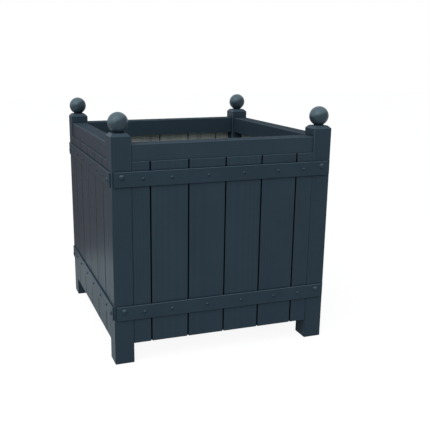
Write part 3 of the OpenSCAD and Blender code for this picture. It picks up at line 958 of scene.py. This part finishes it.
@dataclass
class Finials(SubAssembly):
    """Four turned balls, each on a short neck with a small cove."""

    ball_r: float = 34.0
    neck_r: float = 16.5
    neck_h: float = 3.0
    cove: float = 1.5
    sides: int = 72
    steps: int = 36
    cove_steps: int = 5
    tip_r: float = 0.02      # the open top of the outline, which a cap closes
    seed: int = 3

    def outline(self) -> list[Vector]:
        """Draws the turned outline.

        Returns:
            Points (radius, 0, height) above the post, from the foot of the neck to the top.
        """
        middle = self.neck_h + math.sqrt(self.ball_r ** 2 - self.neck_r ** 2)
        cove_x = self.neck_r + self.cove
        cove_z = middle - math.sqrt((self.ball_r + self.cove) ** 2 - cove_x ** 2)
        meet = math.atan2(middle - cove_z, -cove_x)
        points = [(self.neck_r, 0.0)]
        for step in range(self.cove_steps + 1):
            angle = math.pi + (meet - math.pi) * step / self.cove_steps
            points.append((cove_x + self.cove * math.cos(angle), cove_z + self.cove * math.sin(angle)))
        low = meet - math.pi
        for step in range(1, self.steps + 1):
            angle = low + (math.pi / 2 - low) * step / self.steps
            reach = max(self.tip_r, self.ball_r * math.cos(angle))
            points.append((reach, middle + self.ball_r * math.sin(angle)))
        return [Vector((x, 0, z)) * MM for x, z in points]

    def turn_balls(self, add: Adder, given: Inputs) -> list:
        """Turns the outline and stands a ball on each post.

        Args:
            add: Adds to the tree.
            given: The tree's inputs.

        Returns:
            The balls.
        """
        split = add("SeparateXYZ", add("InputPosition")).outputs
        line = add("SetCurveRadius", add("MeshToCurve", given.geometry), Radius=split["X"])
        line = add("SetPosition", line, Position=add("CombineXYZ", Z=split["Z"]))
        ring = add("CurvePrimitiveCircle", Resolution=given.sides, Radius=1.0)
        ball = add("CurveToMesh", line, ring, Fill_Caps=True, Scale=add("InputRadius"))
        corners = add("MeshGrid", Size_X=given.spacing, Size_Y=given.spacing, Vertices_X=2, Vertices_Y=2)
        corners = add("Transform", corners, Translation=add("CombineXYZ", Z=given.foot))
        balls = add("RealizeInstances", add("InstanceOnPoints", corners, Instance=ball))
        return [store_grain(add, balls, add("InputPosition"), given.seed)]

    def build(self) -> None:
        """Turns the four finials as one piece."""
        points = self.outline()
        mesh = bpy.data.meshes.new("finial_outline")
        mesh.from_pydata(points, [(n, n + 1) for n in range(len(points) - 1)], [])
        piece = grow("ball_finials", mesh, self.turn_balls, spacing=2 * Timber.post_axis * MM,
                     foot=Timber.post_top * MM, sides=self.sides, seed=self.seed,
                     material=self.finishes.balls)
        show(piece, "painted_wood", "front_left_finial", "front_right_finial", "back_right_finial",
             "back_left_finial")


# ---- ironwork ----


@dataclass
class Straps(SubAssembly):
    """Eight flat bars, each bored for its screws and pierced square for its two bolts."""

    def build(self) -> None:
        """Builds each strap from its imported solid."""
        for side in Side:
            for level in Level:
                node = f"{side.label}_{level.name.lower()}_strap"
                mesh = merged_copy(node)
                mesh.materials.append(self.finishes.iron)
                show(crisp(node + "_painted", mesh), "painted_iron", node)


@dataclass
class Fasteners(SubAssembly):
    """One kind of fastener, made once along -z with its seat at the origin and set wherever it is used.

    The fields of each kind are its sizes in millimetres, and its heights are below the seat where negative.
    """

    name: ClassVar[str]
    node: ClassVar[str]
    slot: ClassVar[str] = "zinc_steel"
    turns: ClassVar[float] = 0.0    # how far each may be turned about its axis, at random
    seed: ClassVar[int] = 31
    above: ClassVar[float] = 7.0    # the bolts of the front and back stand above the middle of the strap
    below: ClassVar[float] = 5.0    # and the others below it, so that two can cross in a post

    @abstractmethod
    def shape(self, add: Adder, given: Inputs) -> Node:
        """Builds one fastener.

        Args:
            add: Adds to the tree.
            given: The tree's inputs, which have the fields' names.

        Returns:
            The node that gives the fastener.
        """

    def spots(self) -> Spots:
        """Says where the fasteners go and how they are turned: here, on the coach bolts' axes.

        Returns:
            A place and a turn for each: one at each end of each strap.
        """
        shifts = {Side.FRONT: self.above, Side.BACK: self.above, Side.RIGHT: -self.below,
                  Side.LEFT: -self.below}
        return [(side.place(x, -Timber.strap, level.value + shifts[side]), side.outwards)
                for side in Side for level in Level for x in (-Timber.post_axis, Timber.post_axis)]

    def set_all(self, add: Adder, given: Inputs) -> list:
        """Sets one on each spot.

        Args:
            add: Adds to the tree.
            given: The tree's inputs.

        Returns:
            The fasteners.
        """
        spin = add("RandomValue", data_type="FLOAT", Max=given.turns, ID=add("InputIndex"), Seed=given.seed)
        about = add("AxisAngleToRotation", Axis=(0, 0, 1), Angle=spin)
        turn = add("EulerToRotation", add("InputNamedAttribute", data_type="FLOAT_VECTOR", Name="turn"))
        turn = add("RotateRotation", turn, about, rotation_space="LOCAL")
        return [add("InstanceOnPoints", given.geometry, Instance=self.shape(add, given), Rotation=turn)]

    def build(self) -> None:
        """Sets every fastener of this kind as one piece."""
        spots = self.spots()
        mesh = bpy.data.meshes.new(self.name + "_spots")
        mesh.from_pydata([place for place, _ in spots], [], [])
        mesh.attributes.new("turn", "FLOAT_VECTOR", "POINT").data.foreach_set(
            "vector", [angle for _, euler in spots for angle in euler])
        sizes = {size.name: getattr(self, size.name) * MM for size in fields(self) if size.name != "finishes"}
        finish = self.finishes.zinc if self.slot == "zinc_steel" else self.finishes.heads
        piece = grow(self.name, mesh, self.set_all, **sizes, turns=self.turns * 2 * math.pi, seed=self.seed,
                     material=finish)
        show(piece, self.slot, self.node)


def domed_head(add: Adder, half: NodeSocket, high: NodeSocket, sides: int, rings: int) -> Node:
    """Makes a low dome on the plane z = 0.

    Args:
        add: Adds to the tree.
        half: Half its width.
        high: Its height.
        sides: Facets round it.
        rings: Rings from the top to the rim.

    Returns:
        The node that gives the dome.
    """
    square = add("Math MULTIPLY_ADD", half, half, add("Math MULTIPLY", high, high))
    radius = add("Math DIVIDE", square, add("Math MULTIPLY", high, 2.0))
    sunk = add("Math SUBTRACT", high, radius)
    rim = add("Math ARCSINE", add("Math DIVIDE", half, radius))
    angle = add("Math MULTIPLY", add("Math MULTIPLY", add("InputIndex"), 1 / (rings - 1)), rim)
    height = add("Math MULTIPLY_ADD", radius, add("Math COSINE", angle), sunk)
    reach = add("Math MULTIPLY", radius, add("Math SINE", angle))
    stack = add("MeshLine", Count=rings, Offset=(0, 0, 0))
    stack = add("SetPosition", stack, Position=add("CombineXYZ", Z=height))
    stack = add("InstanceOnPoints", stack, Instance=add("MeshCircle", Vertices=sides, Radius=1.0),
                Scale=add("CombineXYZ", reach, reach, 1.0))
    return add("ConvexHull", add("RealizeInstances", stack))


def threaded_end(add: Adder, radius: NodeSocket, low: NodeSocket, high: NodeSocket, turns: int) -> Node:
    """Makes a closed length of threaded rod, its ridges drawn as rings.

    Args:
        add: Adds to the tree.
        radius: Radius over the ridges.
        low: Height of its lower end.
        high: Height of its upper end.
        turns: How many ridges.

    Returns:
        The node that gives the rod.
    """
    core = 0.87    # radius between the ridges, as a share of that over them
    sides = 24
    index = add("InputIndex")
    height = add("MapRange", add("Math MULTIPLY", index, 1 / (2 * turns)), To_Min=low, To_Max=high)
    share = add("Math MULTIPLY_ADD", add("Math MODULO", index, 2.0), 1 - core, core)
    line = add("MeshToCurve", add("MeshLine", Count=2 * turns + 1, Offset=(0, 0, 1)))
    line = add("SetCurveRadius", line, Radius=add("Math MULTIPLY", radius, share))
    line = add("SetPosition", line, Position=add("CombineXYZ", Z=height))
    ring = add("CurvePrimitiveCircle", Resolution=sides, Radius=1.0)
    return add("CurveToMesh", line, ring, Fill_Caps=True, Scale=add("InputRadius"))


def cross_recess(add: Adder, head: Node, top: object, given: Inputs) -> Node:
    """Sinks a cross for a screwdriver into a head.

    Args:
        add: Adds to the tree.
        head: The head.
        top: Height of the head's top.
        given: The tree's inputs, with arm, the length over the arms of the cross, and deep, its depth.

    Returns:
        The node that gives the head with its cross.
    """
    bar_width = 0.26    # share of the length over the arms
    thin = add("Math MULTIPLY", given.arm, bar_width)
    tall = add("Math MULTIPLY", given.deep, 2.0)
    bars = [add("Transform", add("MeshCube", Size=add("CombineXYZ", wide, narrow, tall)),
                Translation=add("CombineXYZ", Z=top))
            for wide, narrow in ((given.arm, thin), (thin, given.arm))]
    return add("MeshBoolean DIFFERENCE", solver="EXACT", Mesh_1=head, Mesh_2=bars)


def screw_shank(add: Adder, given: Inputs) -> Node:
    """Makes a plain shank with a blunt point.

    Args:
        add: Adds to the tree.
        given: The tree's inputs, with the shank's radius and the heights of its taper and its end.

    Returns:
        The node that gives the shank.
    """
    blunt, in_head, sides = 0.15, -0.2 * MM, 20    # the tip's share of the radius, the top's height, facets
    tip = add("Math MULTIPLY", given.shank_r, blunt)
    return stacked_rings(add, [(given.shank_r, in_head, sides), (given.shank_r, given.taper, sides),
                               (tip, given.end, sides)])


@dataclass
class CoachBolts(Fasteners):
    """Domed bolts with a square neck that runs through strap and post, painted with the straps."""

    name = "coach_bolts_domed"
    node = "coach_bolts"
    slot = "painted_iron"
    head_sides: ClassVar[int] = 40
    head_rings: ClassVar[int] = 9
    shank_sides: ClassVar[int] = 24
    ridges: ClassVar[int] = 12
    head_r: float = 10.0
    head_h: float = 5.0
    neck_w: float = 8.0
    shank_r: float = 4.0
    end: float = -85.1
    thread: float = end + 16.0
    shank_top: float = 1.0              # the shank runs into the head
    shank_low: float = thread - 1.0     # and into the thread

    def shape(self, add: Adder, given: Inputs) -> Node:
        """Builds one bolt: head, square neck, shank and threaded end.

        Args:
            add: Adds to the tree.
            given: The tree's inputs.

        Returns:
            The node that gives the bolt.
        """
        neck = add("MeshCube", Size=add("CombineXYZ", given.neck_w, given.neck_w, given.neck_w))
        head = domed_head(add, given.head_r, given.head_h, self.head_sides, self.head_rings)
        shank = stacked_rings(add, [(given.shank_r, given.shank_top, self.shank_sides),
                                    (given.shank_r, given.shank_low, self.shank_sides)])
        rod = threaded_end(add, given.shank_r, given.end, given.thread, self.ridges)
        return add("MeshBoolean UNION", solver="EXACT", Mesh=[head, neck, shank, rod])


@dataclass
class BoltWashers(Fasteners):
    """Flat washers under the nuts."""

    name = "bolt_washers_flat"
    node = "bolt_washers"
    thick: ClassVar[float] = 1.6
    rim_sides: ClassVar[int] = 40
    bore_sides: ClassVar[int] = 36
    rim_r: float = 8.0
    bore_r: float = 4.1
    top: float = -73.0
    low: float = top - thick
    bore_top: float = top + thick / 2
    bore_low: float = low - thick / 2

    def rings(self, given: Inputs) -> list[tuple[NodeSocket, NodeSocket, int]]:
        """The outline, as stacked_rings takes it."""
        return [(given.rim_r, given.top, self.rim_sides), (given.rim_r, given.low, self.rim_sides)]

    def shape(self, add: Adder, given: Inputs) -> Node:
        """Builds one and bores it.

        Args:
            add: Adds to the tree.
            given: The tree's inputs.

        Returns:
            The node that gives it.
        """
        cutter = stacked_rings(add, [(given.bore_r, given.bore_top, self.bore_sides),
                                     (given.bore_r, given.bore_low, self.bore_sides)])
        return add("MeshBoolean DIFFERENCE", solver="EXACT", Mesh_1=stacked_rings(add, self.rings(given)),
                   Mesh_2=cutter)


@dataclass
class BoltNuts(BoltWashers):
    """Hexagon nuts with their corners turned off, each stopped at its own angle."""

    name = "bolt_nuts_hexagon"
    node = "bolt_nuts"
    turns = 1.0
    thick: ClassVar[float] = 6.5
    turned: ClassVar[float] = 0.09 * thick    # height of the turned ends
    rim_sides: ClassVar[int] = 36
    corners: ClassVar[int] = 6
    rim_r: float = 6.5
    corner_r: float = rim_r / math.cos(math.pi / 6)
    top: float = -74.6
    low: float = top - thick
    upper: float = top - turned
    lower: float = low + turned
    bore_top: float = top + thick / 2
    bore_low: float = low - thick / 2

    def rings(self, given: Inputs) -> list[tuple[NodeSocket, NodeSocket, int]]:
        """The outline: a hexagon between two turned ends."""
        return [(given.rim_r, given.top, self.rim_sides), (given.corner_r, given.upper, self.corners),
                (given.corner_r, given.lower, self.corners), (given.rim_r, given.low, self.rim_sides)]


@dataclass
class StrapScrews(Fasteners):
    """Round-head screws that hold the straps to the boards, painted with the straps."""

    name = "strap_screws_round_head"
    node = "strap_screws"
    slot = "painted_iron"
    turns = 1.0
    head_sides: ClassVar[int] = 32
    head_rings: ClassVar[int] = 7
    columns: ClassVar[tuple[float, ...]] = (-294.0, -195.0, -65.0, 65.0, 195.0, 294.0)    # along a side
    head_r: float = 5.5
    head_h: float = 3.5
    shank_r: float = 2.75
    end: float = -22.0
    taper: float = end + 5.0
    arm: float = 5.0
    deep: float = 1.3

    def shape(self, add: Adder, given: Inputs) -> Node:
        """Builds one screw.

        Args:
            add: Adds to the tree.
            given: The tree's inputs.

        Returns:
            The node that gives the screw.
        """
        head = domed_head(add, given.head_r, given.head_h, self.head_sides, self.head_rings)
        return add("MeshBoolean UNION", solver="EXACT",
                   Mesh=[cross_recess(add, head, given.head_h, given), screw_shank(add, given)])

    def spots(self) -> Spots:
        """Where the screws go: one through each strap into each board."""
        return [(side.place(x, -Timber.strap, level.value), side.outwards) for side in Side for level in Level
                for x in self.columns]


@dataclass
class FloorScrews(Fasteners):
    """Countersunk screws that hold the slats."""

    name = "floor_screws_countersunk"
    node = "floor_screws"
    turns = 1.0
    head_sides: ClassVar[int] = 32
    rim_r: float = 5.0
    under: float = -2.5
    shank_r: float = 2.5
    end: float = -50.0
    taper: float = end + 5.0
    arm: float = 5.2
    deep: float = 1.8

    def shape(self, add: Adder, given: Inputs) -> Node:
        """Builds one screw, its flat top at the origin.

        Args:
            add: Adds to the tree.
            given: The tree's inputs.

        Returns:
            The node that gives the screw.
        """
        head = stacked_rings(add, [(given.rim_r, 0.0, self.head_sides),
                                   (given.shank_r, given.under, self.head_sides)])
        whole = add("MeshBoolean UNION", solver="EXACT", Mesh=[head, screw_shank(add, given)])
        return cross_recess(add, whole, 0.0, given)

    def spots(self) -> Spots:
        """Where the screws go, upright in the slats."""
        return [(spot, Euler((0, 0, 0))) for spot in SlattedFloor(self.finishes).spots()]


@dataclass
class FinialScrews(Fasteners):
    """Double-ended screws that run from the posts up into the balls."""

    name = "finial_screws_double_ended"
    node = "finial_screws"
    ridges: ClassVar[int] = 24
    stud_r: float = 5.0
    low: float = -40.0
    high: float = 30.0

    def shape(self, add: Adder, given: Inputs) -> Node:
        """Builds one stud."""
        return threaded_end(add, given.stud_r, given.low, given.high, self.ridges)

    def spots(self) -> Spots:
        """Where the studs go: in the middle of each post's top."""
        ends = (-Timber.post_axis, Timber.post_axis)
        return [(Vector((x, y, Timber.post_top)) * MM, Euler((0, 0, 0))) for x in ends for y in ends]


# ---- studio ----


@dataclass
class Studio:
    """Camera, soft light and a plain pale floor, as in the photograph. Its lengths are metres."""

    place: tuple[float, float, float] = (-0.8525, -2.4429, 1.0500)
    yaw: float = 0.3183
    pitch: float = -0.2544
    lens: float = 54.96          # this and the width of its picture are millimetres
    sensor: float = 36.0
    shift: tuple[float, float] = (0.0904, 0.0194)
    far: float = 14.0
    pale: str = "#bcc0c0"
    seen: str = "#595959"        # the grey in which the lens sees the planter's shadow,
    seen_glow: float = 0.92      # under this much white,
    mirrored: str = "#dfeae8"    # and the same for gloss
    mirrored_glow: float = 0.2
    zenith: str = "#e8eef8"
    front: str = "#c8c8c8"
    back: str = "#8a8886"
    turn_over: tuple[float, float] = (-0.5, 0.5)     # where the sky turns from front to back,
    rise_over: tuple[float, float] = (0.15, 0.85)    # and from its foot to the zenith
    key_place: tuple[float, float, float] = (-4.2, -3.8, 6.1)
    key_aim: tuple[float, float, float] = (0.0, 0.0, 0.4)
    key_size: float = 7.4
    key_power: float = 432.0
    card: str = "#a58a87"
    card_left: float = -1.15
    card_right: float = -0.36
    card_back: float = 0.885
    card_low: float = 0.002
    card_top: float = 0.93

    def build_camera(self) -> None:
        """Stands the camera where the photograph was taken."""
        data = bpy.data.cameras.new("camera")
        data.sensor_width = self.sensor
        data.lens = self.lens
        data.shift_x, data.shift_y = self.shift
        camera = put("camera", data)
        camera.location = self.place
        camera.rotation_euler = (math.pi / 2 + self.pitch, 0, -self.yaw)
        bpy.context.scene.camera = camera

    def seen_white(self, add: Adder) -> Node:
        """Picks the rays that meet the white background: from the lens, and off or through a glossy surface.

        Args:
            add: Adds to a floor's or the world's tree.

        Returns:
            A node that gives 1 for those rays and 0 for the light that falls on the planter.
        """
        rays = add("LightPath").outputs
        seen = add("Math ADD", rays["Is Camera Ray"], rays["Is Glossy Ray"])
        return add("Math ADD", seen, rays["Is Transmission Ray"], use_clamp=True)

    def stand(self, name: str, corners: list[tuple[float, float, float]], material: Material) -> Object:
        """Puts one flat surface in the studio.

        Args:
            name: Its name.
            corners: Its four corners.
            material: Its material.

        Returns:
            The object.
        """
        mesh = bpy.data.meshes.new(name)
        mesh.from_pydata(corners, [], [(0, 1, 2, 3)])
        mesh.materials.append(material)
        return put(name, mesh)

    def build_floor(self) -> None:
        """Lays the pale floor, which looks white but for the planter's soft shadow."""
        material = bpy.data.materials.new("floor_pale")
        add = clear_nodes(material)
        material.cycles.emission_sampling = "NONE"
        white = (1, 1, 1, 1)
        real = add("BsdfDiffuse", linear(self.pale))
        seen = add("AddShader", add("BsdfDiffuse", linear(self.seen)), add("Emission", white, self.seen_glow))
        mirrored = add("AddShader", add("BsdfDiffuse", linear(self.mirrored)),
                       add("Emission", white, self.mirrored_glow))
        seen = add("MixShader", add("LightPath").outputs["Is Glossy Ray"], seen, mirrored)
        add("OutputMaterial", add("MixShader", self.seen_white(add), real, seen))
        far = self.far
        corners = [(-far, -far, 0), (far, -far, 0), (far, far, 0), (-far, far, 0)]
        floor = self.stand("floor", corners, material)

    def build_card(self) -> None:
        """Stands one warm grey card behind and to the left, which only the gloss of the left side meets.

        It gives that side a dimmer gloss than the white background alone would. The lens looks past the card
        at that background, and the card holds no light back.
        """
        material = bpy.data.materials.new("card_warm_grey")
        add = clear_nodes(material)
        add("OutputMaterial", add("BsdfDiffuse", linear(self.card)))
        left, right, low, top = self.card_left, self.card_right, self.card_low, self.card_top
        corners = [(x, self.card_back, z) for x, z in ((left, low), (right, low), (right, top), (left, top))]
        card = self.stand("gloss_card", corners, material)
        card.visible_camera = card.visible_diffuse = card.visible_shadow = False

    def build_light(self) -> None:
        """Hangs a soft sky that is bright overhead and dimmer at the horizon, and one large soft lamp."""
        world = bpy.data.worlds.new("soft_sky")
        add = clear_nodes(world)
        split = add("SeparateXYZ", add("TexCoord").outputs["Generated"]).outputs
        around = add("MapRange", split["Y"], *self.turn_over, 0.0, 1.0)
        low = add("Mix", around, linear(self.front), linear(self.back), data_type="RGBA")
        up = add("MapRange", split["Z"], *self.rise_over, 0.0, 1.0, interpolation_type="SMOOTHSTEP")
        sky = add("Mix", up, low, linear(self.zenith), data_type="RGBA")
        sky = add("Mix", self.seen_white(add), sky, (1, 1, 1, 1), data_type="RGBA")
        add("OutputWorld", add("Background", sky, 1.0))
        bpy.context.scene.world = world
        data = bpy.data.lights.new("soft_key", "AREA")
        data.shape = "DISK"
        data.size = self.key_size
        data.energy = self.key_power
        lamp = put("soft_key", data)
        lamp.location = self.key_place
        lamp.rotation_euler = (Vector(self.key_aim) - lamp.location).to_track_quat("-Z", "Y").to_euler()

    def build(self) -> None:
        """Builds the whole studio."""
        self.build_camera()
        self.build_floor()
        self.build_card()
        self.build_light()
        bpy.context.scene.view_settings.view_transform = "Standard"


def main() -> None:
    """Builds the planter's pieces and the studio round them."""
    logging.basicConfig(level=logging.INFO, format="%(message)s")
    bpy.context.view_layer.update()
    Studio().build()
    finishes = Finishes()
    for part in (PostsAndRails, BoardWalls, SlattedFloor, Finials, Straps, CoachBolts, BoltWashers, BoltNuts,
                 StrapScrews, FloorScrews, FinialScrews):
        part(finishes).build()


if __name__ == "__main__":
    main()
